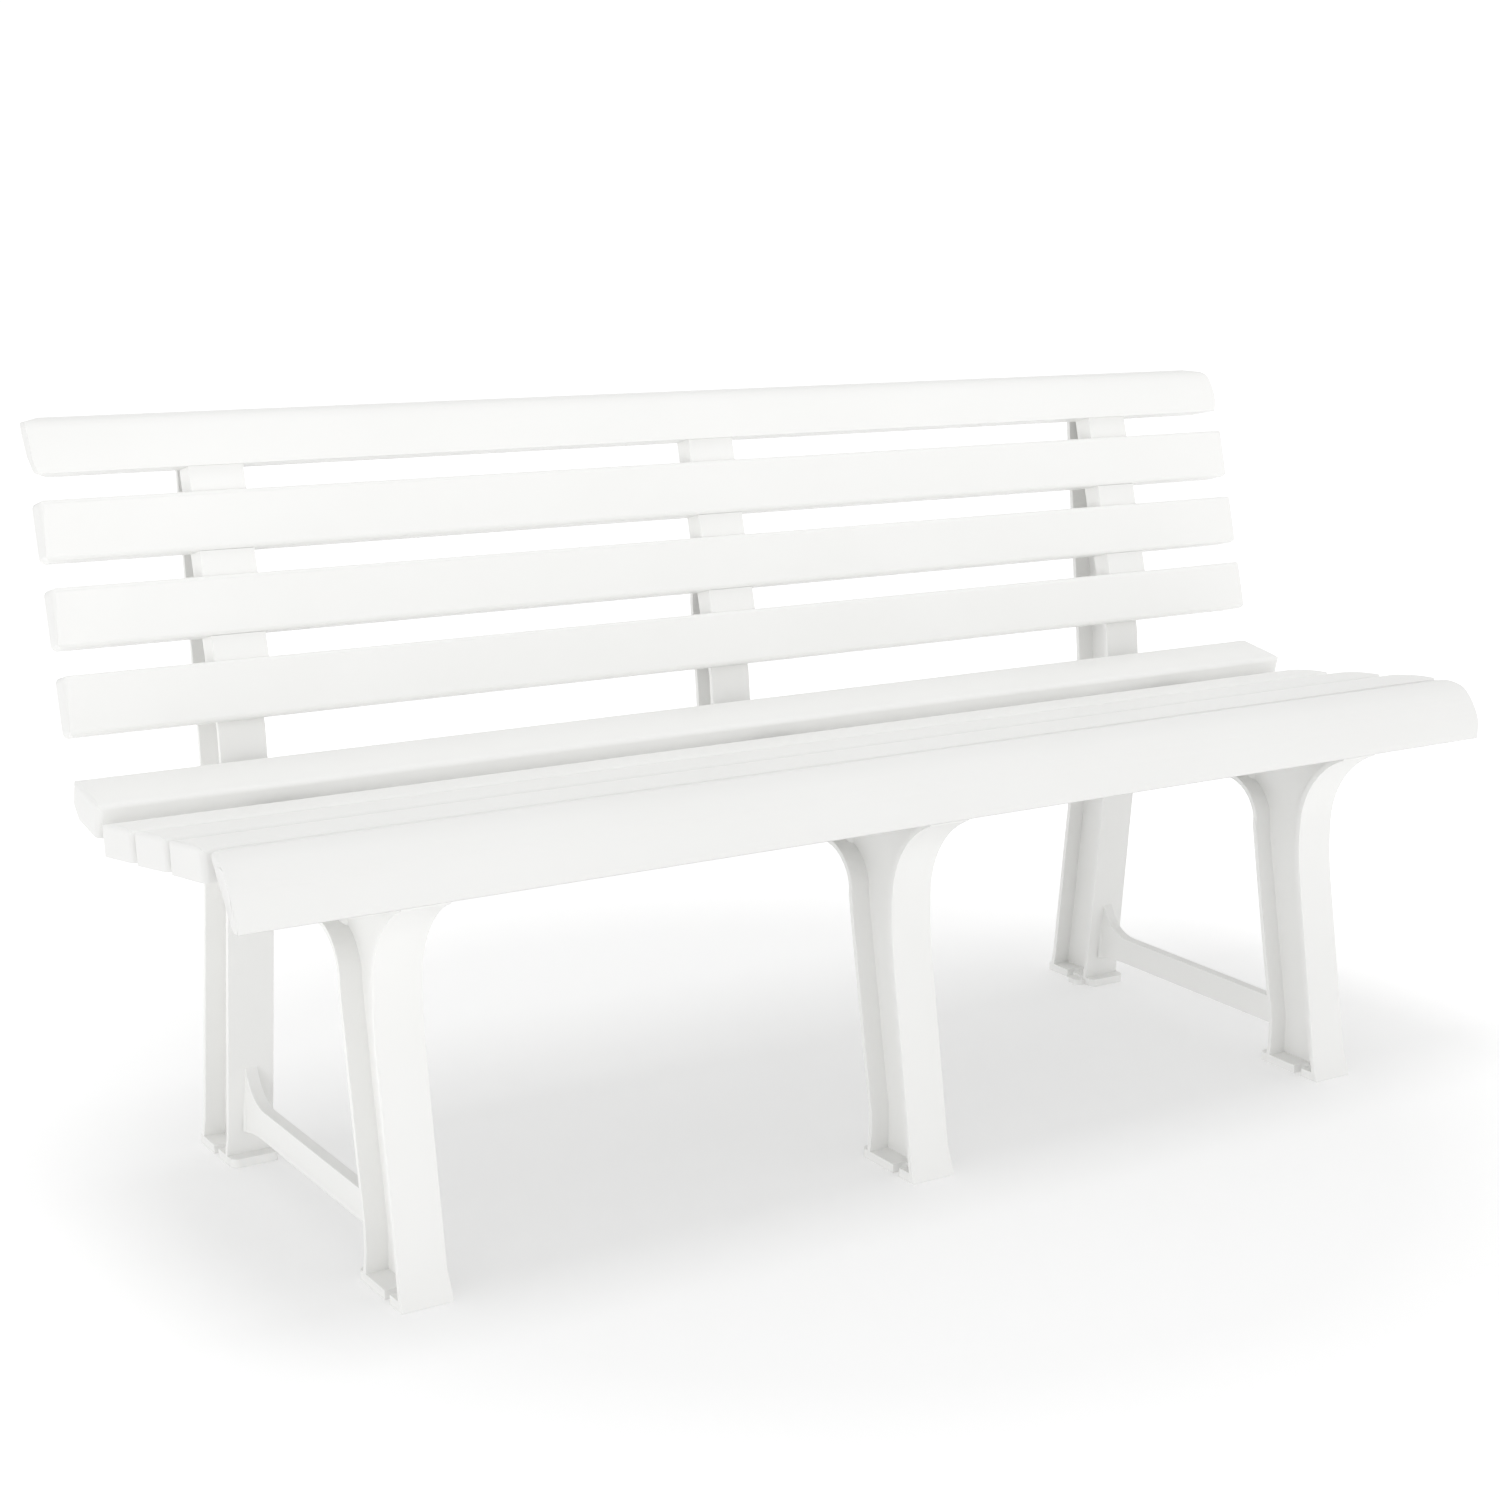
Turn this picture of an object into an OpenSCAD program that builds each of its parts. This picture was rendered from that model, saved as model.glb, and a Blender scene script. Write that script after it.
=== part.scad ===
// Moulded resin garden bench.
// Three upright frames carry four back slats and five seat slats, held by screws.
// X runs along the bench, Y from front to back and Z up, in millimetres.
// The origin lies on the ground under the middle of the bench.

/* [Overall] */
// Length of the bench and of every slat
bench_len = 1455; // [1350:5:1560]
// Depth from the front rail to the back of the top rail
bench_depth = 492; // [490:1:494]
// Distance from the middle frame to each outer frame
frame_pitch = 553; // [500:1:600]

/* [Frames] */
// Width of the frame flanges, measured along the bench
flange_w = 47; // [42:1:50]
// Thickness of the frame flanges
flange_t = 5; // [4:0.5:6]
// Thickness of the web between the flanges
web_t = 5; // [4:0.5:6]
// Width of the base plate of a foot
foot_w = 50; // [50:1:56]
// Thickness of the base plate of a foot
foot_t = 9; // [7:0.5:11]
// Width of the stretcher between the front and rear legs
stretcher_w = 12; // [8:1:16]
// Height of the stretcher's underside above the ground
stretcher_low = 37; // [30:1:44]
// Height of the stretcher from its underside to its top
stretcher_h = 30; // [24:1:36]

/* [Back] */
// Lean of the back from the vertical, in degrees
back_tilt = 16.5; // [16:0.1:17]
// Height of the face of a back slat
back_face = 56; // [52:1:58]
// Distance from one back slat to the next, along the back
back_pitch = 80; // [79:1:81]
// Thickness of a back slat at its lower edge
back_t = 26; // [25:1:27]
// How much further forward the face of a back slat stands at its upper edge
back_lead = 3.5; // [2:0.5:4]
// Width of the raised blocks between the back slats
block_w = 54.5; // [50:0.5:56]

/* [Seat] */
// Width of each of the three middle seat slats
seat_w = 75; // [74:0.5:76]
// Width of the rear seat slat
rear_w = 65; // [63:1:66]
// Gap between two seat slats
seat_gap = 6; // [5:0.5:7]
// Thickness of a seat slat
seat_t = 28; // [26:1:29]
// Rise of the rounded top of a seat slat above its edges
crown = 3; // [1:0.5:4]

/* [Mouldings] */
// Wall thickness of the slats
skin = 3; // [2.5:0.5:4]
// Thickness of the ribs inside the slats
rib_t = 2.4; // [2:0.2:3]

/* [Screws] */
// Radius of the screw thread
screw_r = 2.4; // [2:0.1:2.4]
// Radius of the screw head
head_r = 4.8; // [4.4:0.1:5]

/* [Hidden] */
$fn = 40;
white = [0.93, 0.93, 0.915];
steel = [0.72, 0.73, 0.75];
frame_x = [-frame_pitch, 0, frame_pitch];
eps = 0.5;
reach = 1200;

// Front foot and leg: heights and Y positions of the leg's two edges
toe = [-232, 0];
ankle_z = 28;
waist = [-178, 280];
flare_r = 90;
flare_turn = 67;
shin_r = 340;
shin_turn = 11.5;
calf = [-155, 0];
calf_top = [-107, 262];
knee_r = 46;
knee_turn = 78;
beam_z = 308;
// Rear leg and upright: Y positions of their edges
rear_toe = [153, 0];
rear_knee = [138.5, 263];
rear_knee_r = 45;
heel = [217, 0];
hip = [199, 270];
hip_bend = [193.6, 350];
loin = [205.5, 430];
nape = [240, 661];
crest = [243, 692];
// Rear edge of the middle upright: the middle frame has no rear leg
middle_hip = [181, 415];
middle_loin = [195.5, 509];
middle_nape_s = 130;
middle_depth = 6;
// Line of the fronts of the back slats
back_y = 127.5;
back_z = 452.6;
upright_top = 268;
block_set_back = 3;
// Seat slats: slope of each from front to rear, in degrees down towards the back
fourth_slope = 8.5;
middle_slope = 9.5;
second_slope = 9;
rear_slope = -9.5;
rear_step = 15;
rear_t = 31;
rear_tail = 18;
seat_front = [-178, 423];
edge_r = 5;
corner_r = 6;
// Front rail: the two radii of its rounded nose
nose_top = 425.5;
nose_r1 = 36;
nose_turn1 = 44;
nose_r2 = 75;
nose_turn2 = 83.5;
lip_t = 7;
rail_back = -184;
// Top rail: straight face, then two arcs over to the back
cap_face = 16;
cap_r1 = 70;
cap_r2 = 22;
cap_turn1 = 40;
cap_turn2 = 88;
cap_corner = 6;
cap_skirt = 22;
// Ends of the back slats and of the rails: how far they narrow behind, and over what length
end_cut = 6;
end_run = 14;
rail_run = 20;
// Screws and their seats
tube_r = 8;
bore_r = 5.5;
boss_r = 5.5;
pilot_r = 2.5;
pilot_depth = 18;
screw_len = 21;
head_h = 3.2;
side_screw = 13;
rib_margin = 27;
top_screw_s = 254;
// Anchor slots in the feet
slot_w = 10;
slot_in = 10;
// Rounded toe on the inner side of a rear foot
toe_t = 6;
toe_r = 8;
toe_len = 22;

// ---------- curves ----------

function arc(c, r, a0, a1, n = 10) = [
    for (i = [0 : n]) let (a = a0 + (a1 - a0) * i / n) c + r * [cos(a), sin(a)]
];

function curve(p, pull, q, n = 10) = [
    for (i = [0 : n]) let (t = i / n)
        (1 - t) * (1 - t) * p + 2 * t * (1 - t) * pull + t * t * q
];

function dir(a) = [cos(a), -sin(a)];
function down(a) = [-sin(a), -cos(a)];

// ---------- seat slat positions: front top edge of each ----------

fourth_at = seat_front;
middle_at = fourth_at + seat_w * dir(fourth_slope) + [seat_gap, 0];
second_at = middle_at + seat_w * dir(middle_slope) + [seat_gap, 0];
rear_at = second_at + seat_w * dir(second_slope) + [seat_gap, rear_step];

function underside(at, a) = [at + seat_t * down(a), at + seat_w * dir(a) + seat_t * down(a)];

// ---------- points on the back, s along it and n behind its front ----------

function back_point(s, n) =
    [back_y, back_z] + s * [sin(back_tilt), cos(back_tilt)] + n * [cos(back_tilt), -sin(back_tilt)];

// ---------- front rail and top rail outlines ----------

nose_c2 = [-bench_depth / 2 + nose_r2 * sin(nose_turn2), 0];
nose_c1y = nose_c2[0] - (nose_r2 - nose_r1) * sin(nose_turn1);
nose_c1 = [nose_c1y, nose_top - nose_r1];
nose_c = nose_c1 + (nose_r2 - nose_r1) * [sin(nose_turn1), -cos(nose_turn1)];
nose_lip = nose_c + nose_r2 * [-sin(nose_turn2), cos(nose_turn2)];
rail_low = [rail_back, nose_top - 29.5];
lip_back = [nose_lip[0] + lip_t, nose_lip[1] + 0.5];

front_rail_outline = concat(
    [[rail_back, nose_top - 2]],
    arc(nose_c1, nose_r1, 90, 90 + nose_turn1, 8),
    arc(nose_c, nose_r2, 90 + nose_turn1, 90 + nose_turn2, 8),
    [nose_lip + [1, -1.5], lip_back, rail_low]
);

cap_0 = back_point(3 * back_pitch, 0);
cap_1 = cap_0 + cap_face * [sin(back_tilt + 3), cos(back_tilt + 3)];
cap_c1 = cap_1 + cap_r1 * [cos(back_tilt + 3), -sin(back_tilt + 3)];
cap_2 = cap_c1 + cap_r1 * [-cos(cap_turn1), sin(cap_turn1)];
cap_c2 = cap_2 + cap_r2 * [cos(cap_turn1), -sin(cap_turn1)];
cap_3 = cap_c2 + cap_r2 * [-cos(cap_turn2), sin(cap_turn2)];
cap_top = cap_3[1] + 1;
cap_rear = bench_depth / 2;

top_rail_outline = concat(
    [cap_0],
    arc(cap_c1, cap_r1, 180 - back_tilt - 3, 180 - cap_turn1, 6),
    arc(cap_c2, cap_r2, 180 - cap_turn1, 180 - cap_turn2, 8),
    arc([cap_rear - cap_corner, cap_top - cap_corner], cap_corner, 90, 0, 6),
    [
        [cap_rear, cap_top - cap_skirt],
        [cap_rear - skin, cap_top - cap_skirt],
        back_point(upright_top - 4, back_t),
        back_point(3 * back_pitch, back_t)
    ]
);

// The ends of both rails are thinner: their arcs, closed by a slanting line behind
nose_end_outline = concat(
    [[rail_back - 13, nose_top - 0.5]],
    [for (i = [1 : 18]) front_rail_outline[i]],
    [nose_lip + [1, -1.5], nose_lip + [6, 2], nose_lip + [11, 15], nose_lip + [22, 27]]
);

cap_end_outline = concat(
    [for (i = [0 : 14]) top_rail_outline[i]],
    [for (p = [[291, 23.5], [277, 21], [258, 15], [242, 3]]) back_point(p[0], p[1])]
);

// ---------- frame outlines, in Y and Z ----------

leg_front = concat(
    [toe],
    arc(waist - [shin_r, 0], shin_r, -shin_turn, 0, 6),
    arc(waist - [flare_r, 0], flare_r, 0, flare_turn, 12)
);

ankle = [
    leg_front[1][0] - (leg_front[1][1] - ankle_z) * tan(shin_turn),
    ankle_z
];

seat_line = concat(
    [lip_back + [2, 1.2], rail_low],
    underside(fourth_at, fourth_slope),
    underside(middle_at, middle_slope),
    underside(second_at, second_slope),
    [for (y = [0, 0.7]) rear_at + y * rear_w * dir(rear_slope) + rear_t * down(rear_slope)]
);

upright_foot = back_point(-8, back_t);

upright_edge = concat(
    [[upright_foot[0] - 6.5, 388], upright_foot, back_point(upright_top, back_t)],
    [crest - [3, -6], crest, nape],
    curve(loin, hip_bend, hip, 10)
);

middle_bend = [middle_hip[0] - 10, beam_z];

leg_back = concat(
    arc(calf_top + [knee_r * sin(knee_turn), beam_z - knee_r - calf_top[1]], knee_r, 90, 90 + knee_turn, 8),
    curve(calf_top, [-128, 160], [-153, 50], 8),
    [calf]
);

outer_outline = concat(
    [leg_front[0], ankle],
    [for (i = [1 : len(leg_front) - 1]) leg_front[i]],
    seat_line,
    upright_edge,
    [heel, rear_toe],
    arc(rear_knee - [rear_knee_r, 0], rear_knee_r, 0, 90, 8),
    leg_back
);

middle_outline = concat(
    [leg_front[0], ankle],
    [for (i = [1 : len(leg_front) - 1]) leg_front[i]],
    seat_line,
    [for (i = [0 : 2]) upright_edge[i]],
    [for (s = [upright_top, middle_nape_s]) back_point(s, back_t + middle_depth)],
    [middle_loin],
    curve(middle_hip, middle_bend, [120, beam_z], 10),
    leg_back
);

// ---------- placing ----------

module across(w) {
    rotate([90, 0, 90]) linear_extrude(w, center = true) children();
}

module on_back(s, n = 0) {
    p = back_point(s, n);
    translate([0, p[0], p[1]]) rotate([-back_tilt, 0, 0]) children();
}

// A board's own frame: Y from its lower or front edge, Z out of its face
module as_back_board(k) {
    on_back(k * back_pitch) rotate([90, 0, 0]) children();
}

module as_seat_board(at, a) {
    translate([0, at[0], at[1]]) rotate([-a, 0, 0]) children();
}

// Under the front rail: the middle of its sloping underside, Z square to it
rail_slope = atan2(rail_low[1] - lip_back[1], rail_low[0] - lip_back[0]);
rail_seat = (lip_back + rail_low) / 2 + [3, 1.4];

module as_rail_seat() {
    translate([0, rail_seat[0], rail_seat[1]]) rotate([rail_slope, 0, 0]) children();
}

// ---------- screws and their holes, along -Z from the board's underside ----------

module screw() {
    difference() {
        union() {
            translate([0, 0, -flange_t]) cylinder(r = screw_r, h = screw_len - 4);
            translate([0, 0, -flange_t + screw_len - 4])
                cylinder(r1 = screw_r, r2 = 0.6, h = 4);
            translate([0, 0, -flange_t - head_h]) cylinder(r1 = head_r - 1, r2 = head_r, h = 1.2);
            translate([0, 0, -flange_t - head_h + 1.2]) cylinder(r = head_r, h = head_h - 1.2);
        }
        translate([0, 0, -flange_t - head_h - eps]) {
            translate([-2.6, -0.6, 0]) cube([5.2, 1.2, 2.2]);
            translate([-0.6, -2.6, 0]) cube([1.2, 5.2, 2.2]);
        }
    }
}

module tube() {
    translate([0, 0, -reach / 8]) cylinder(r = tube_r, h = reach / 8);
}

module screw_seat() {
    translate([0, 0, -reach / 8]) cylinder(r = bore_r, h = reach / 8 - flange_t);
    translate([0, 0, -flange_t - eps]) cylinder(r = pilot_r + 0.25, h = flange_t + 2 * eps);
}

module pilot() {
    translate([0, 0, -eps]) cylinder(r = pilot_r, h = pilot_depth + eps);
}

module pair(offset_x) {
    for (side = [-1, 1]) translate([side * offset_x, 0, 0]) children();
}

// Screw axes under each board, in the middle of its width
module back_axis(k) {
    as_back_board(k) translate([0, back_face / 2, -back_t]) children();
}

module top_axis() {
    on_back(top_screw_s) rotate([90, 0, 0]) translate([0, 0, -back_t]) children();
}

module seat_axis(at, a) {
    as_seat_board(at, a) translate([0, seat_w / 2, -seat_t]) children();
}

module rear_axis() {
    as_seat_board(rear_at, rear_slope) translate([0, rear_w / 2, -rear_t]) children();
}

module web_axes() {
    for (k = [0 : 2]) back_axis(k) children();
    top_axis() children();
    rear_axis() children();
    seat_axis(second_at, second_slope) children();
    seat_axis(middle_at, middle_slope) children();
}

module side_axes() {
    seat_axis(fourth_at, fourth_slope) pair(side_screw) children();
    as_rail_seat() pair(side_screw) children();
}

// ---------- frames ----------

module rim() {
    difference() {
        children();
        offset(delta = -flange_t) children();
    }
}

// Front view of a leg: straight sides that spread over the foot
module leg_width() {
    half = flange_w / 2;
    foot = foot_w / 2;
    rotate([90, 0, 0]) linear_extrude(reach, center = true) polygon([
        [-foot, 0], [-foot, foot_t], [-half, ankle_z], [-half, reach],
        [half, reach], [half, ankle_z], [foot, foot_t], [foot, 0]
    ]);
}

module foot_plate(y0, y1, toe_y) {
    linear_extrude(foot_t) {
        translate([0, (y0 + y1) / 2]) offset(r = 8) square([foot_w - 16, y1 - y0 - 16], center = true);
        square_y = toe_y == y0 ? y0 + 20 : y0;
        translate([-foot_w / 2, square_y]) square([foot_w, y1 - y0 - 20]);
    }
}

module inner_toe(side) {
    linear_extrude(toe_t) translate([side * foot_w / 2, rear_toe[0] + toe_len / 2])
        offset(r = toe_r) square(toe_len - 2 * toe_r, center = true);
}

module anchor_slots(y) {
    for (side = [-1, 1]) translate([side * (slot_in + slot_w / 2), y, -eps]) {
        cylinder(d = slot_w, h = foot_t + 2 * eps);
        translate([side * foot_w / 2, 0, foot_t / 2 + eps])
            cube([foot_w, slot_w, foot_t + 2 * eps], center = true);
    }
}

module blocks() {
    for (k = [0 : 2]) on_back(k * back_pitch + back_face) rotate([90, 0, 0])
        translate([0, 0, -back_t - eps]) linear_extrude(back_t + eps - block_set_back)
            translate([-block_w / 2, 0]) square([block_w, back_pitch - back_face]);
}

module stretcher() {
    top = stretcher_low + stretcher_h;
    bar = stretcher_w / 2;
    web_fillet = 3;
    intersection() {
        across(flange_w - 8) polygon(concat(
            [[-150, stretcher_low], [-150, top]],
            arc([104, top + 44], 44, -90, -30, 8),
            [[148.5, top + 33], [150, top + 33], [150, stretcher_low - 5]],
            curve([146, stretcher_low - 5], [130, stretcher_low], [110, stretcher_low], 4)
        ));
        linear_extrude(reach) polygon(concat(
            [[-bar, -152], [bar, -152]],
            arc([bar + web_fillet, 150 - web_fillet], web_fillet, 180, 90, 5),
            [[bar + web_fillet, 152], [-bar - web_fillet, 152]],
            arc([-bar - web_fillet, 150 - web_fillet], web_fillet, 90, 0, 5)
        ));
    }
}

module frame(x, outline, rear_leg) {
    translate([x, 0, 0]) difference() {
        union() {
            across(web_t) polygon(outline);
            intersection() {
                across(2 * foot_w) rim() polygon(outline);
                leg_width();
            }
            intersection() {
                across(2 * tube_r) polygon(outline);
                web_axes() tube();
            }
            foot_plate(-227.5, -143.5, -143.5);
            blocks();
            if (rear_leg) {
                foot_plate(138.5, 219.5, 138.5);
                inner_toe(-sign(x));
                stretcher();
            }
        }
        web_axes() screw_seat();
        side_axes() translate([0, 0, -flange_t - 3]) cylinder(r = pilot_r + 0.25, h = flange_t + 6);
        anchor_slots(-203);
        if (rear_leg) anchor_slots(180);
    }
}

module left_frame() {
    color(white) frame(frame_x[0], outer_outline, true);
}

module middle_frame() {
    color(white) frame(frame_x[1], middle_outline, false);
}

module right_frame() {
    color(white) frame(frame_x[2], outer_outline, true);
}

// ---------- slats ----------

// Spans along a slat between its heavier ribs, each with its number of bays
spans = [
    [-bench_len / 2 + skin, -frame_pitch - rib_margin, 2],
    [-frame_pitch - rib_margin, -frame_pitch + rib_margin, 1],
    [-frame_pitch + rib_margin, -rib_margin, 6],
    [-rib_margin, rib_margin, 1],
    [rib_margin, frame_pitch - rib_margin, 6],
    [frame_pitch - rib_margin, frame_pitch + rib_margin, 1],
    [frame_pitch + rib_margin, bench_len / 2 - skin, 2]
];

// Hollow bays between the ribs; the child is the cavity seen from the end
module bays() {
    for (s = spans) let (step = (s[1] - s[0]) / s[2]) for (i = [0 : s[2] - 1])
        translate([s[0] + (i + 0.5) * step, 0, 0])
            across(step - rib_t) children();
}

// The face of a board seen from its end, from the upper edge to the lower one:
// rounded when it has a rise, or straight and leading at the upper edge
function crowned(w, rise) =
    let (big_r = (w * w / 4 + rise * rise) / (2 * rise), spread = asin(w / 2 / big_r))
        arc([w / 2, rise - big_r], big_r, 90 - spread, 90 + spread, 12);

module board_profile(w, t, rise, lead, tail) {
    face = rise > 0 ? crowned(w, rise) : [[w, lead], [0, 0]];
    intersection() {
        offset(r = edge_r) offset(delta = -edge_r)
            polygon(concat([[0, -t - edge_r], [w, -t - edge_r]], face));
        polygon([[0, -t], [0.7 * w, -t], [w, -tail], [w, rise + lead], [0, rise + lead]]);
    }
}

// A board seen from its long edge: rounded at the front of its ends, cut back behind
function long_outline(t, top, cut) =
    let (half = bench_len / 2)
        concat(
            arc([half - corner_r, top - corner_r], corner_r, 0, 90, 6),
            arc([-half + corner_r, top - corner_r], corner_r, 90, 180, 6),
            [[-half, -t + cut], [-half + end_run, -t - eps]],
            [[half - end_run, -t - eps], [half, -t + cut]]
        );

module board_cavity(w, t, lead) {
    difference() {
        polygon([[skin, -t - eps], [w - skin, -t - eps], [w - skin, lead - skin], [skin, -skin]]);
        translate([(w - rib_t) / 2, -t - 2 * eps]) square([rib_t, t + lead + 2 * eps]);
    }
}

module bosses(t, offset_x) {
    for (x = frame_x) translate([x, 0, -t]) {
        if (offset_x == 0) children();
        else pair(offset_x) children();
    }
}

// A hollow board with rounded ends, its face up and its back edge along +Y;
// tail is the depth of its back edge, and cut is how much thinner its ends are
module board(w, t, tail, rise, lead, cut, offset_x) {
    inner = bench_len - 2 * corner_r;
    top = rise + lead;
    difference() {
        union() {
            difference() {
                intersection() {
                    across(bench_len) board_profile(w, t, rise, lead, tail);
                    translate([0, w / 2, -t - eps]) linear_extrude(t + top + 2 * eps)
                        offset(r = corner_r) square([inner, w - 2 * corner_r], center = true);
                    translate([0, w + eps, 0]) rotate([90, 0, 0]) linear_extrude(w + 2 * eps)
                        polygon(long_outline(t, top, cut));
                }
                bays() board_cavity(w, t, lead);
            }
            bosses(t, offset_x) translate([0, w / 2, 0]) cylinder(r = boss_r, h = t - skin + eps);
        }
        bosses(t, offset_x) translate([0, w / 2, 0]) pilot();
    }
}

module back_slat(k) {
    as_back_board(k) board(back_face, back_t, back_t, 0, back_lead, end_cut, 0);
}

module back_slat_upper() {
    color(white) back_slat(2);
}

module back_slat_middle() {
    color(white) back_slat(1);
}

module back_slat_lower() {
    color(white) back_slat(0);
}

module seat_board(at, a, offset_x) {
    as_seat_board(at, a) board(seat_w, seat_t, seat_t, crown, 0, 0, offset_x);
}

module seat_slat_rear() {
    color(white) as_seat_board(rear_at, rear_slope)
        board(rear_w, rear_t, rear_tail, crown - 1, 0, 0, 0);
}

module seat_slat_second() {
    color(white) seat_board(second_at, second_slope, 0);
}

module seat_slat_middle() {
    color(white) seat_board(middle_at, middle_slope, 0);
}

module seat_slat_fourth() {
    color(white) seat_board(fourth_at, fourth_slope, side_screw);
}

// Rails with their own outline; the two children are the outline and its mouth,
// and wall is the thickness of the end walls
module rail(low, high, front, back, wall) {
    difference() {
        intersection() {
            across(bench_len) children(0);
            translate([0, back, 0]) rotate([90, 0, 0]) linear_extrude(back - front)
                translate([-bench_len / 2 + corner_r + 1, low]) offset(r = corner_r + 1)
                    square([bench_len - 2 * corner_r - 2, high - low - corner_r - 1]);
            translate([0, 0, low - 20]) linear_extrude(high - low + 40)
                translate([-bench_len / 2 + corner_r + 1, front + corner_r + 1]) offset(r = corner_r + 1)
                    square([bench_len - 2 * corner_r - 2, back - front]);
        }
        intersection() {
            bays() union() {
                offset(delta = -skin) children(0);
                children(1);
            }
            cube([bench_len - 2 * wall, reach, 2 * reach], center = true);
        }
    }
}

// The space of a rail that narrows towards its ends, from one outline to the other
module thin_ends() {
    hull() {
        across(bench_len - 2 * rail_run) children(0);
        across(bench_len) children(1);
    }
}

module seat_front_rail() {
    low = lip_back + [2.5, 0];
    color(white) difference() {
        union() {
            intersection() {
                rail(nose_lip[1] - 12, nose_top, -bench_depth / 2, rail_back + 1, rail_run) {
                    polygon(front_rail_outline);
                    polygon([low, low + [-2, 6], rail_low + [-skin - 2, 6], rail_low + [-skin, -6]]);
                }
                thin_ends() {
                    polygon(front_rail_outline);
                    polygon(nose_end_outline);
                }
            }
            intersection() {
                across(bench_len - 20) polygon(front_rail_outline);
                for (x = frame_x) translate([x, 0, 0]) as_rail_seat() pair(side_screw)
                    cylinder(r = boss_r, h = 60);
            }
        }
        for (x = frame_x) translate([x, 0, 0]) as_rail_seat() pair(side_screw) pilot();
    }
}

module back_top_rail() {
    s0 = 3 * back_pitch;
    color(white) difference() {
        union() {
            intersection() {
                rail(cap_0[1] - 12, cap_top, cap_0[0], cap_rear, rail_run) {
                    polygon(top_rail_outline);
                    polygon([
                        back_point(s0 + skin, back_t - 6), back_point(s0 + skin, back_t + 4),
                        back_point(upright_top - 4, back_t + 4),
                        [cap_rear - skin, cap_top - cap_skirt - 2], [cap_rear - skin, cap_top - 12],
                        back_point(upright_top, back_t - 6)
                    ]);
                }
                thin_ends() {
                    polygon(top_rail_outline);
                    polygon(cap_end_outline);
                }
            }
            intersection() {
                across(bench_len - 20) polygon(top_rail_outline);
                for (x = frame_x) translate([x, 0, 0]) top_axis() cylinder(r = boss_r, h = back_t + 9);
            }
        }
        for (x = frame_x) translate([x, 0, 0]) top_axis() pilot();
    }
}

// ---------- screws, one group for each slat ----------

module screws() {
    for (x = frame_x) translate([x, 0, 0]) children();
}

module top_rail_screws() {
    color(steel) screws() top_axis() screw();
}

module upper_slat_screws() {
    color(steel) screws() back_axis(2) screw();
}

module middle_slat_screws() {
    color(steel) screws() back_axis(1) screw();
}

module lower_slat_screws() {
    color(steel) screws() back_axis(0) screw();
}

module rear_slat_screws() {
    color(steel) screws() rear_axis() screw();
}

module second_slat_screws() {
    color(steel) screws() seat_axis(second_at, second_slope) screw();
}

module seat_middle_screws() {
    color(steel) screws() seat_axis(middle_at, middle_slope) screw();
}

module fourth_slat_screws() {
    color(steel) screws() seat_axis(fourth_at, fourth_slope) pair(side_screw) screw();
}

module front_rail_screws() {
    color(steel) screws() as_rail_seat() pair(side_screw) screw();
}

left_frame();
middle_frame();
right_frame();
back_top_rail();
back_slat_upper();
back_slat_middle();
back_slat_lower();
seat_slat_rear();
seat_slat_second();
seat_slat_middle();
seat_slat_fourth();
seat_front_rail();
top_rail_screws();
upper_slat_screws();
middle_slat_screws();
lower_slat_screws();
rear_slat_screws();
second_slat_screws();
seat_middle_screws();
fourth_slat_screws();
front_rail_screws();
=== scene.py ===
import math

import bmesh
import bpy
from mathutils import Matrix, Vector


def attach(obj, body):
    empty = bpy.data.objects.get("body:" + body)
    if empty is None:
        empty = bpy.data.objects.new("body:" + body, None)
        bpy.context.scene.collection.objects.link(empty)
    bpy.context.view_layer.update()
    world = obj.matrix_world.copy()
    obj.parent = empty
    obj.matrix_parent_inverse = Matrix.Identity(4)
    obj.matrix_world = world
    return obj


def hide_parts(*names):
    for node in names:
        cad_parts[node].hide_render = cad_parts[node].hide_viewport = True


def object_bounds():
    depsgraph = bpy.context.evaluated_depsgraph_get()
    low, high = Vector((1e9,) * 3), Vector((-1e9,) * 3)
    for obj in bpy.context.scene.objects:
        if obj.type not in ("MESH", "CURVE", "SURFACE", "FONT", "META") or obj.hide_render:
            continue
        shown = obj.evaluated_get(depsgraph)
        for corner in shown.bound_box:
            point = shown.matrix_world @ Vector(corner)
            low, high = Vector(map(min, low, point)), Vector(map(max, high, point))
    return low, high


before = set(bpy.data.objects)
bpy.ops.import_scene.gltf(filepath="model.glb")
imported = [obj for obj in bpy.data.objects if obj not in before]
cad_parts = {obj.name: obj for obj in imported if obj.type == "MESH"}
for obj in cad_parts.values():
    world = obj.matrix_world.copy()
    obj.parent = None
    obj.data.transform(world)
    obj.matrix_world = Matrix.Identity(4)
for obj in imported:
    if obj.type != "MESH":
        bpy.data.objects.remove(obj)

# Looks of a white moulded resin garden bench, in metres, in the frame of the CAD part.
# Each frame and slat is shown by a copy of its CAD node with a finished surface and, where
# the mesh allows it, rounded edges; the screws are lathed anew around the CAD screws' axes.

MM = 0.001
cad_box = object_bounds()
low, high = cad_box
centre = (low + high) / 2

FRAMES = ["left_frame", "middle_frame", "right_frame"]
SCREWS = [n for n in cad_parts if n.endswith("_screws")]
SLATS = [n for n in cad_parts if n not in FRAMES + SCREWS]


# ---------- materials ----------

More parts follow.
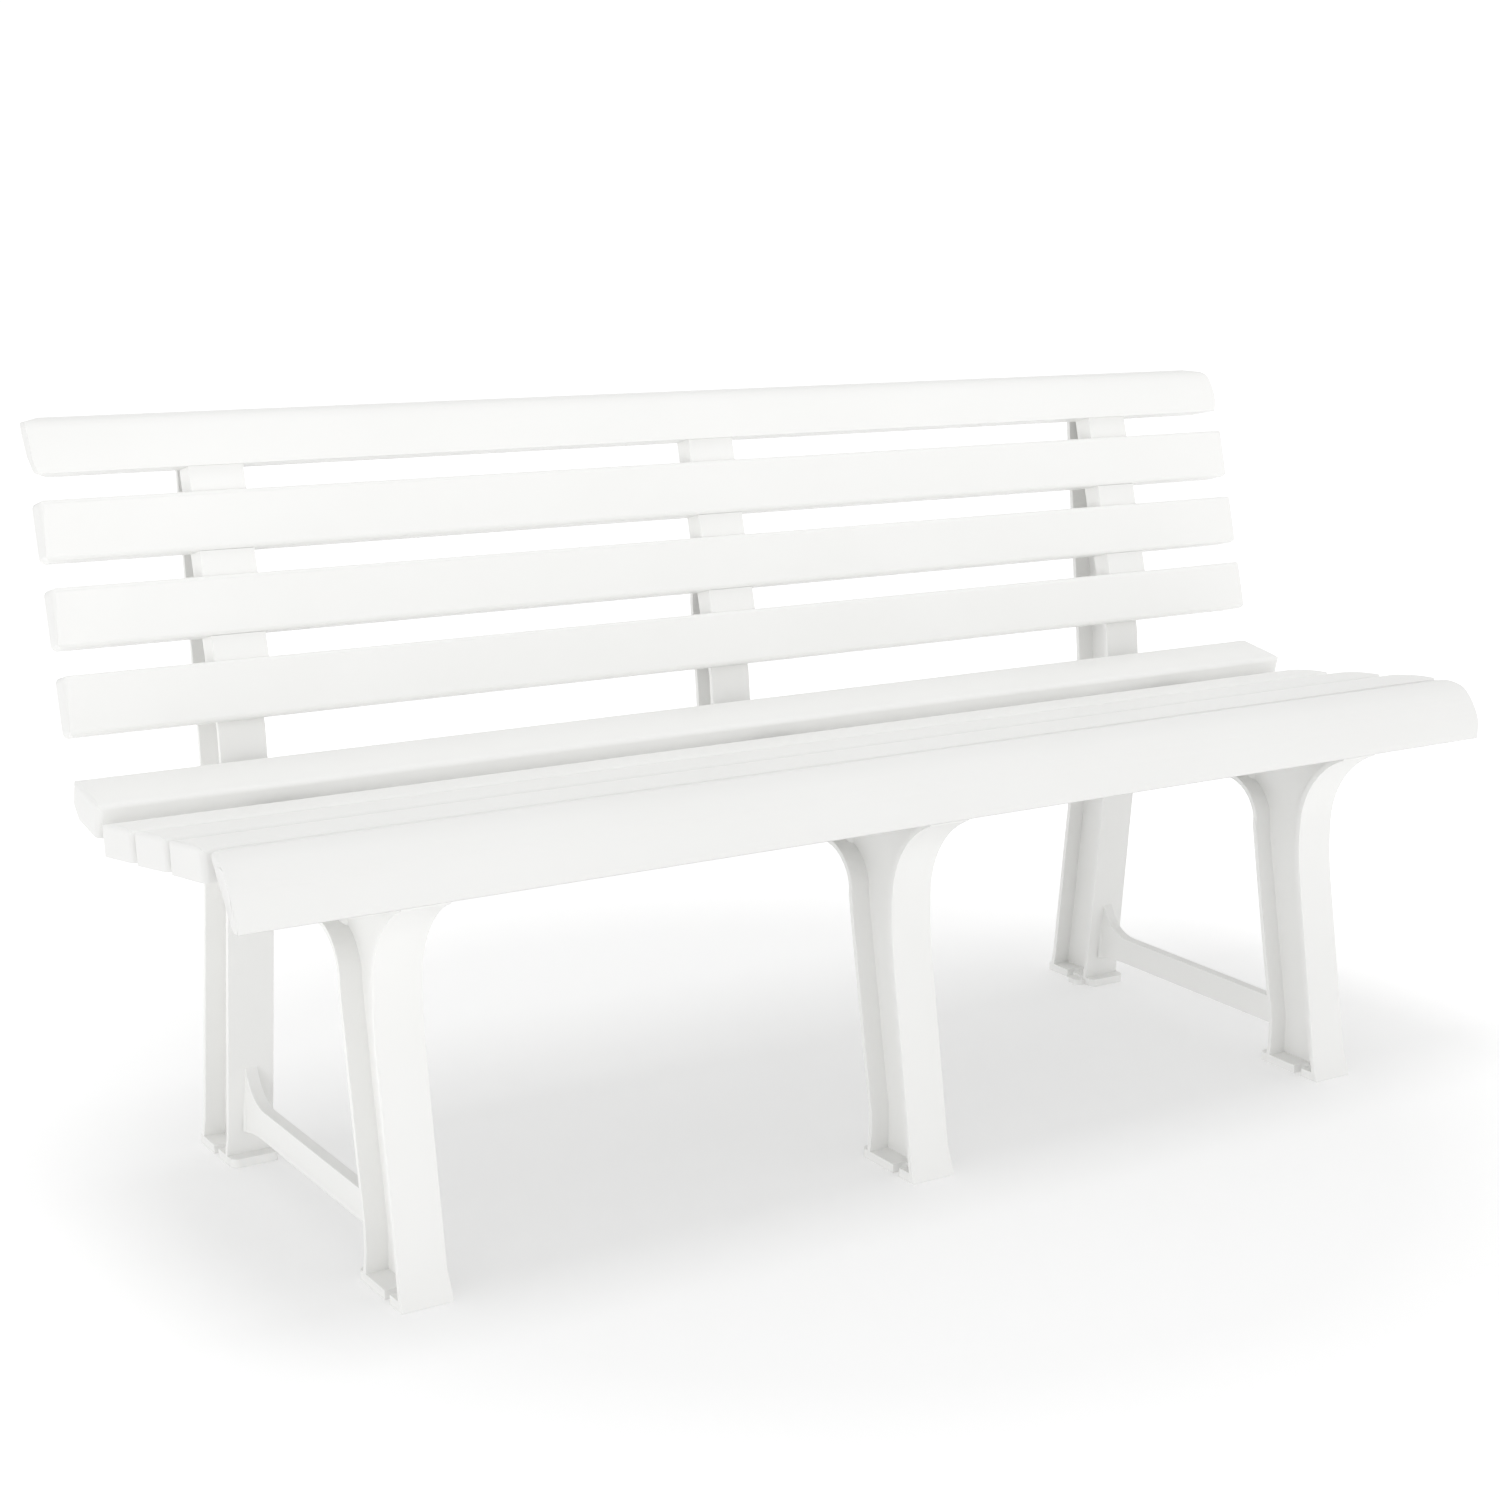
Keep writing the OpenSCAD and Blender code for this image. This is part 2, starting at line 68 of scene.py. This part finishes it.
# Noise scales are in features per metre
CLOUD_SCALE, CLOUD_CONTRAST = 6.0, (0.35, 0.65)
PATCH_SCALE, PATCH_CONTRAST = 22.0, (0.3, 0.7)
WAVE_SCALE, WAVE_DEPTH, WAVE_STRENGTH = 14.0, 0.6 * MM, 0.12
GRAIN_DEPTH, GRAIN_STRENGTH = 0.03 * MM, 0.5
RESIN_ROUGHNESS, RESIN_IOR = (0.40, 0.52), 1.47
# These set the painted shade: the resin's colour darkens where ambient occlusion finds corners
# and recesses
PAINTED_SHADE_REACH, PAINTED_SHADE_RANGE, PAINTED_SHADE_TONE, PAINTED_SHADE_SAMPLES = 12 * MM, (0.25, 0.75), 0.82, 4
MOTTLE_SCALE, ZINC_ROUGHNESS = 400.0, (0.26, 0.42)
ZINC_DARK, ZINC_LIGHT = (0.62, 0.63, 0.64), (0.74, 0.74, 0.72)
SCRATCH_SCALE, SCRATCH_DEPTH, SCRATCH_STRENGTH = 1800.0, 0.02 * MM, 0.5


def new_material(name):
    """A material with its node tree, the tree's nodes and links, and its main shader."""
    material = bpy.data.materials.new(name)
    material.use_nodes = True
    tree = material.node_tree
    return material, tree.nodes, tree.links, tree.nodes["Principled BSDF"]


def noise(nodes, links, place, scale, detail):
    """A noise texture in object space."""
    texture = nodes.new("ShaderNodeTexNoise")
    texture.inputs["Scale"].default_value = scale
    texture.inputs["Detail"].default_value = detail
    links.new(place, texture.inputs["Vector"])
    return texture.outputs["Fac"]


def remap(nodes, links, value, old, new):
    """The value taken from one range of numbers to another."""
    node = nodes.new("ShaderNodeMapRange")
    node.inputs["From Min"].default_value, node.inputs["From Max"].default_value = old
    node.inputs["To Min"].default_value, node.inputs["To Max"].default_value = new
    links.new(value, node.inputs["Value"])
    return node.outputs["Result"]


def mix_colour(nodes, links, amount, a, b):
    """Colour a where amount is 0 and colour b where it is 1."""
    node = nodes.new("ShaderNodeMix")
    node.data_type = "RGBA"
    links.new(amount, node.inputs["Factor"])
    for socket, colour in ((node.inputs["A"], a), (node.inputs["B"], b)):
        if isinstance(colour, tuple):
            socket.default_value = (*colour, 1)
        else:
            links.new(colour, socket)
    return node.outputs["Result"]


def bump(nodes, links, height, distance, strength, below=None):
    """A bump from a height, laid over another one if there is one below."""
    node = nodes.new("ShaderNodeBump")
    node.inputs["Distance"].default_value = distance
    node.inputs["Strength"].default_value = strength
    links.new(height, node.inputs["Height"])
    if below is not None:
        links.new(below, node.inputs["Normal"])
    return node.outputs["Normal"]


def resin(name, white, shade, grain, painted_shade):
    """White moulded resin: fine spark-eroded grain, faint flow marks, painted shade in the
    corners.
    """
    material, nodes, links, shader = new_material(name)
    place = nodes.new("ShaderNodeTexCoord").outputs["Object"]
    cloud = noise(nodes, links, place, CLOUD_SCALE, 3.0)
    cloud = remap(nodes, links, cloud, CLOUD_CONTRAST, (0, 1))
    colour = mix_colour(nodes, links, cloud, white, shade)
    # Painted shade: ambient occlusion darkens the colour in corners and recesses
    corner = nodes.new("ShaderNodeAmbientOcclusion")
    corner.samples = PAINTED_SHADE_SAMPLES
    corner.inputs["Distance"].default_value = PAINTED_SHADE_REACH
    painted_shade_amount = remap(nodes, links, corner.outputs["AO"], PAINTED_SHADE_RANGE, (painted_shade, 0))
    painted_shade_colour = tuple(PAINTED_SHADE_TONE * c for c in shade)
    links.new(mix_colour(nodes, links, painted_shade_amount, colour, painted_shade_colour), shader.inputs["Base Color"])
    patch = noise(nodes, links, place, PATCH_SCALE, 4.0)
    links.new(remap(nodes, links, patch, PATCH_CONTRAST, RESIN_ROUGHNESS),
              shader.inputs["Roughness"])
    fine = noise(nodes, links, place, grain, 2.0)
    fine = bump(nodes, links, fine, GRAIN_DEPTH, GRAIN_STRENGTH)
    wave = noise(nodes, links, place, WAVE_SCALE, 1.0)
    links.new(bump(nodes, links, wave, WAVE_DEPTH, WAVE_STRENGTH, fine),
              shader.inputs["Normal"])
    shader.inputs["IOR"].default_value = RESIN_IOR
    return material


def zinc_steel(name):
    """Bright zinc-plated steel with a mottled, finely uneven finish."""
    material, nodes, links, shader = new_material(name)
    place = nodes.new("ShaderNodeTexCoord").outputs["Object"]
    mottle = noise(nodes, links, place, MOTTLE_SCALE, 3.0)
    mottle = remap(nodes, links, mottle, CLOUD_CONTRAST, (0, 1))
    colour = mix_colour(nodes, links, mottle, ZINC_DARK, ZINC_LIGHT)
    links.new(colour, shader.inputs["Base Color"])
    links.new(remap(nodes, links, mottle, (0, 1), ZINC_ROUGHNESS), shader.inputs["Roughness"])
    fine = noise(nodes, links, place, SCRATCH_SCALE, 2.0)
    links.new(bump(nodes, links, fine, SCRATCH_DEPTH, SCRATCH_STRENGTH),
              shader.inputs["Normal"])
    shader.inputs["Metallic"].default_value = 1.0
    return material


# The last number of each resin sets how dark its painted shade in the corners is
frame_resin = resin("frame_resin", (0.895, 0.895, 0.882), (0.88, 0.88, 0.865),
                    grain=1500.0, painted_shade=0.14)
slat_resin = resin("slat_resin", (0.87, 0.87, 0.857), (0.86, 0.86, 0.846),
                   grain=1100.0, painted_shade=0.5)
screw_steel = zinc_steel("screw_steel")


# ---------- mouldings ----------

WELD = 0.01 * MM
EDGE_R, EDGE_STEPS = 0.8 * MM, 3
EDGE_ANGLE = math.radians(30)
MOULDING_SHARP = math.radians(35)
# A bevel makes bad faces on these two, so they keep their CAD edges
PLAIN_EDGED = ("seat_front_rail", "seat_slat_fourth")

pieces = []


def copy_of(node, name):
    """A new object with a copy of a CAD node's mesh."""
    piece = bpy.data.objects.new(name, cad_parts[node].data.copy())
    bpy.context.scene.collection.objects.link(piece)
    return piece


def finish_piece(piece, material):
    """Gives a piece its material, adds it to the list of pieces, and puts it on the bench's one
    body.
    """
    piece.data.materials.clear()
    piece.data.materials.append(material)
    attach(piece, "root")
    pieces.append(piece)


def moulded(node, material):
    """A copy of a CAD node with its sharp edges rounded, as they leave the mould."""
    piece = copy_of(node, node + "_moulding")
    mesh = bmesh.new()
    mesh.from_mesh(piece.data)
    bmesh.ops.remove_doubles(mesh, verts=mesh.verts, dist=WELD)
    if node not in PLAIN_EDGED:
        sharp = [e for e in mesh.edges
                 if len(e.link_faces) == 2 and e.calc_face_angle(0) > EDGE_ANGLE]
        bmesh.ops.bevel(mesh, geom=sharp, offset=EDGE_R, offset_type="OFFSET",
                        segments=EDGE_STEPS, profile=0.5, affect="EDGES",
                        clamp_overlap=True, miter_outer="ARC")
        bmesh.ops.triangulate(mesh, faces=[f for f in mesh.faces if len(f.verts) > 4])
    mesh.to_mesh(piece.data)
    mesh.free()
    piece.data.shade_smooth()
    piece.data.set_sharp_from_angle(angle=MOULDING_SHARP)
    weigh = piece.modifiers.new("weigh", "WEIGHTED_NORMAL")
    weigh.keep_sharp = True
    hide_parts(node)
    finish_piece(piece, material)


# ---------- screws ----------

THREAD_R, CORE_R, THREAD_PITCH = 2.3 * MM, 1.8 * MM, 1.6 * MM
THREAD_START, THREAD_FREE = 3.2 * MM, 4 * MM
POINT_R, POINT_H, NECK_H = 0.6 * MM, 0.2 * MM, 0.5 * MM
HEAD_R, HEAD_H, DOME_H, DOME_STEPS = 4.75 * MM, 3.2 * MM, 1.6 * MM, 6
RECESS_R, RECESS_DEPTH = 2.4 * MM, 1.6 * MM
RECESS_WAIST, RECESS_TAPER, RECESS_POINT = 0.42, 0.4, 1.2
SIDES = 32
SCREW_SHARP = math.radians(40)
# How far the tip and the head of a CAD screw reach, when its axis is looked for
TIP_SPREAD, HEAD_SPREAD = 1.5 * MM, 1.0 * MM


def islands(mesh):
    """The separate solids of a mesh, each as a list of its vertices in the mesh's order."""
    mesh.verts.index_update()
    left = set(mesh.verts)
    for start in mesh.verts:
        if start not in left:
            continue
        left.remove(start)
        solid, edge_of_it = [], [start]
        while edge_of_it:
            vert = edge_of_it.pop()
            solid.append(vert)
            near = {e.other_vert(vert) for e in vert.link_edges} & left
            left -= near
            edge_of_it += near
        yield sorted(solid, key=lambda v: v.index)


def screw_axis(solid):
    """The tip of a CAD screw, the direction from its tip to its head, and its length."""
    middle = sum((v.co for v in solid), Vector()) / len(solid)
    tip = max(solid, key=lambda v: (v.co - middle).length)
    round_tip = [v.co for v in solid if (v.co - tip.co).length < TIP_SPREAD]
    tip = sum(round_tip, Vector()) / len(round_tip)
    reach = [(v.co - tip) for v in solid]
    farthest = max(r.length for r in reach)
    heads = [r for r in reach if r.length > farthest - HEAD_SPREAD]
    axis = sum(heads, Vector()).normalized()
    return tip, axis, max(r.dot(axis) for r in reach)


def screw_outline(length):
    """Radius and height along a pan-head screw: point, threaded shank, head with round edge."""
    turns = int((length - HEAD_H - THREAD_FREE) / THREAD_PITCH)
    outline = [(0.0, 0.0), (POINT_R, POINT_H)]
    for i in range(turns):
        z = THREAD_START + i * THREAD_PITCH
        outline += [(CORE_R, z), (THREAD_R, z + 0.5 * THREAD_PITCH)]
    seat = length - HEAD_H
    outline += [(CORE_R, seat - NECK_H), (CORE_R, seat), (HEAD_R, seat)]
    for i in range(DOME_STEPS + 1):
        turn = math.radians(90 * i / DOME_STEPS)
        outline.append((HEAD_R - DOME_H + DOME_H * math.cos(turn),
                        length - DOME_H + DOME_H * math.sin(turn)))
    return outline


def add_screw(mesh, tip, axis, length):
    """Lathes one screw into the mesh and sinks a cross recess in its head."""
    side = axis.orthogonal().normalized()
    across = axis.cross(side)
    rings = []
    for radius, height in screw_outline(length):
        at = tip + height * axis
        if radius == 0:
            rings.append([mesh.verts.new(at)])
            continue
        turns = [2 * math.pi * i / SIDES for i in range(SIDES)]
        rings.append([
            mesh.verts.new(at + radius * (math.cos(t) * side + math.sin(t) * across))
            for t in turns])
    for a, b in zip(rings, rings[1:]):
        for i in range(SIDES):
            j = (i + 1) % SIDES
            if len(a) == 1:
                mesh.faces.new((a[0], b[j], b[i]))
            else:
                mesh.faces.new((a[i], a[j], b[j], b[i]))
    sink_recess(mesh, rings[-1], tip + length * axis, axis)


def sink_recess(mesh, rim, top, axis):
    """A cross recess inside the flat of the head: a star of walls down to a point."""
    star = []
    quarter = SIDES // 4
    for i, vert in enumerate(rim):
        out = vert.co - top
        arm = RECESS_R if i % quarter in (0, 1, quarter - 1) else RECESS_WAIST * RECESS_R
        star.append(mesh.verts.new(top + arm * out.normalized()))
    floor = [mesh.verts.new(v.co * RECESS_TAPER + top * (1 - RECESS_TAPER)
                            - RECESS_DEPTH * axis) for v in star]
    foot = mesh.verts.new(top - RECESS_POINT * RECESS_DEPTH * axis)
    for i in range(SIDES):
        j = (i + 1) % SIDES
        mesh.faces.new((rim[i], rim[j], star[j], star[i]))
        mesh.faces.new((star[i], star[j], floor[j], floor[i]))
        mesh.faces.new((floor[i], floor[j], foot))


def lathed_screws(node):
    """Pan-head screws with threads and cross recesses in place of a CAD screw group."""
    source = bmesh.new()
    source.from_mesh(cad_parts[node].data)
    bmesh.ops.remove_doubles(source, verts=source.verts, dist=WELD)
    mesh = bmesh.new()
    for solid in islands(source):
        add_screw(mesh, *screw_axis(solid))
    source.free()
    bmesh.ops.recalc_face_normals(mesh, faces=mesh.faces)
    data = bpy.data.meshes.new(node + "_lathed")
    mesh.to_mesh(data)
    mesh.free()
    data.shade_smooth()
    data.set_sharp_from_angle(angle=SCREW_SHARP)
    piece = bpy.data.objects.new(node + "_lathed", data)
    bpy.context.scene.collection.objects.link(piece)
    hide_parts(node)
    finish_piece(piece, screw_steel)


for node in FRAMES:
    moulded(node, frame_resin)
for node in SLATS:
    moulded(node, slat_resin)
for node in SCREWS:
    lathed_screws(node)


# ---------- studio ----------

FLOOR_HALF, FLOOR_CELLS, FLOOR_DROP = 40, 8, 0.2 * MM
FLOOR_LIGHT, FLOOR_DARK = (0.83, 0.83, 0.83), (0.82, 0.82, 0.82)
# The floor's glow grows with the distance from the bench, which keeps the backdrop white
GLOW_REACH, GLOW = (0.62, 1.4), (0.22, 0.52)
# The sky changes from its horizon band to its overhead tone between these heights
HORIZON_BAND = (0.06, 0.14)
SKY_OVERHEAD, SKY_HORIZON = 0.77, 1.06
CAMERA_AT = Vector((-1.48483, -2.08964, 0.99964))
CAMERA_AZIMUTH, CAMERA_ELEVATION, CAMERA_ROLL = -34.028, 13.510, 1.376
LENS, SENSOR_WIDTH = 61.94, 36


def make_floor():
    """A white floor that runs out of sight, with a painted glow that grows away from the bench.
    """
    material, nodes, links, shader = new_material("floor_white")
    place = nodes.new("ShaderNodeTexCoord").outputs["Object"]
    cloud = noise(nodes, links, place, 1.5, 2.0)
    links.new(mix_colour(nodes, links, cloud, FLOOR_LIGHT, FLOOR_DARK),
              shader.inputs["Base Color"])
    shader.inputs["Roughness"].default_value = 0.9
    shader.inputs["Specular IOR Level"].default_value = 0.1
    shader.inputs["Emission Color"].default_value = (1, 1, 1, 1)
    # Painted glow: the floor emits light, weaker near the bench and stronger away from it
    spread = nodes.new("ShaderNodeVectorMath")
    spread.operation = "LENGTH"
    links.new(place, spread.inputs[0])
    glow = remap(nodes, links, spread.outputs["Value"], GLOW_REACH, GLOW)
    links.new(glow, shader.inputs["Emission Strength"])
    mesh = bmesh.new()
    bmesh.ops.create_grid(mesh, x_segments=FLOOR_CELLS, y_segments=FLOOR_CELLS,
                          size=FLOOR_HALF)
    data = bpy.data.meshes.new("floor")
    mesh.to_mesh(data)
    mesh.free()
    floor = bpy.data.objects.new("floor", data)
    floor.location = (centre.x, centre.y, low.z - FLOOR_DROP)
    floor.data.materials.append(material)
    bpy.context.scene.collection.objects.link(floor)


def make_sky(overhead, horizon):
    """White light from all round, stronger in a band above the horizon."""
    world = bpy.data.worlds.new("studio")
    world.use_nodes = True
    nodes, links = world.node_tree.nodes, world.node_tree.links
    split = nodes.new("ShaderNodeSeparateXYZ")
    links.new(nodes.new("ShaderNodeTexCoord").outputs["Generated"], split.inputs["Vector"])
    strength = remap(nodes, links, split.outputs["Z"], HORIZON_BAND, (horizon, overhead))
    links.new(strength, nodes["Background"].inputs["Strength"])
    nodes["Background"].inputs["Color"].default_value = (1, 1, 1, 1)
    bpy.context.scene.world = world


def make_softbox(name, place, aim, size, power):
    """A square area light at a place, turned to a point."""
    light = bpy.data.lights.new(name, "AREA")
    light.size = size
    light.energy = power
    box = bpy.data.objects.new(name, light)
    box.location = place
    box.rotation_mode = "QUATERNION"
    box.rotation_quaternion = (Vector(aim) - Vector(place)).to_track_quat("-Z", "Y")
    bpy.context.scene.collection.objects.link(box)
    return box


def light_only(box, receivers):
    """Lets a light shine on these pieces alone, and so not on the floor."""
    lit = bpy.data.collections.new(box.name + "_lit")
    for receiver in receivers:
        lit.objects.link(receiver)
    box.light_linking.receiver_collection = lit


def make_camera():
    """A camera set by azimuth round the bench, elevation above it and roll, in degrees."""
    a, e, t = (math.radians(x) for x in (CAMERA_AZIMUTH, CAMERA_ELEVATION, CAMERA_ROLL))
    back = Vector((math.sin(a) * math.cos(e), -math.cos(a) * math.cos(e), math.sin(e)))
    level = Vector((0, 0, 1)).cross(back).normalized()
    rise = back.cross(level)
    right = math.cos(t) * level + math.sin(t) * rise
    up = math.cos(t) * rise - math.sin(t) * level
    data = bpy.data.cameras.new("camera")
    data.lens = LENS
    data.sensor_width = SENSOR_WIDTH
    camera = bpy.data.objects.new("camera", data)
    turned = Matrix((right, up, back)).transposed().to_4x4()
    camera.matrix_world = Matrix.Translation(CAMERA_AT) @ turned
    bpy.context.scene.collection.objects.link(camera)
    bpy.context.scene.camera = camera


make_floor()
make_sky(SKY_OVERHEAD, SKY_HORIZON)
REAR_NAMES = ("back_", "seat_slat_rear", "seat_slat_second")
frame_pieces = pieces[:len(FRAMES)]
rear_pieces = [p for p in pieces if p.name.startswith(REAR_NAMES)]
light_only(make_softbox("front_softbox", (0.6, -4.3, 2.2), centre, 2.2, 14), pieces)
light_only(make_softbox("back_softbox", (0.3, -4.3, 1.8), centre, 2.2, 20), rear_pieces)
light_only(make_softbox("left_softbox", (-4.2, -1.8, 0.7), centre, 2.2, 32), frame_pieces)
make_softbox("top_softbox", (-0.9, 0.0, 6.0), (0, 0, 0), 2.0, 56)
make_camera()
bpy.context.scene.view_settings.view_transform = "Standard"
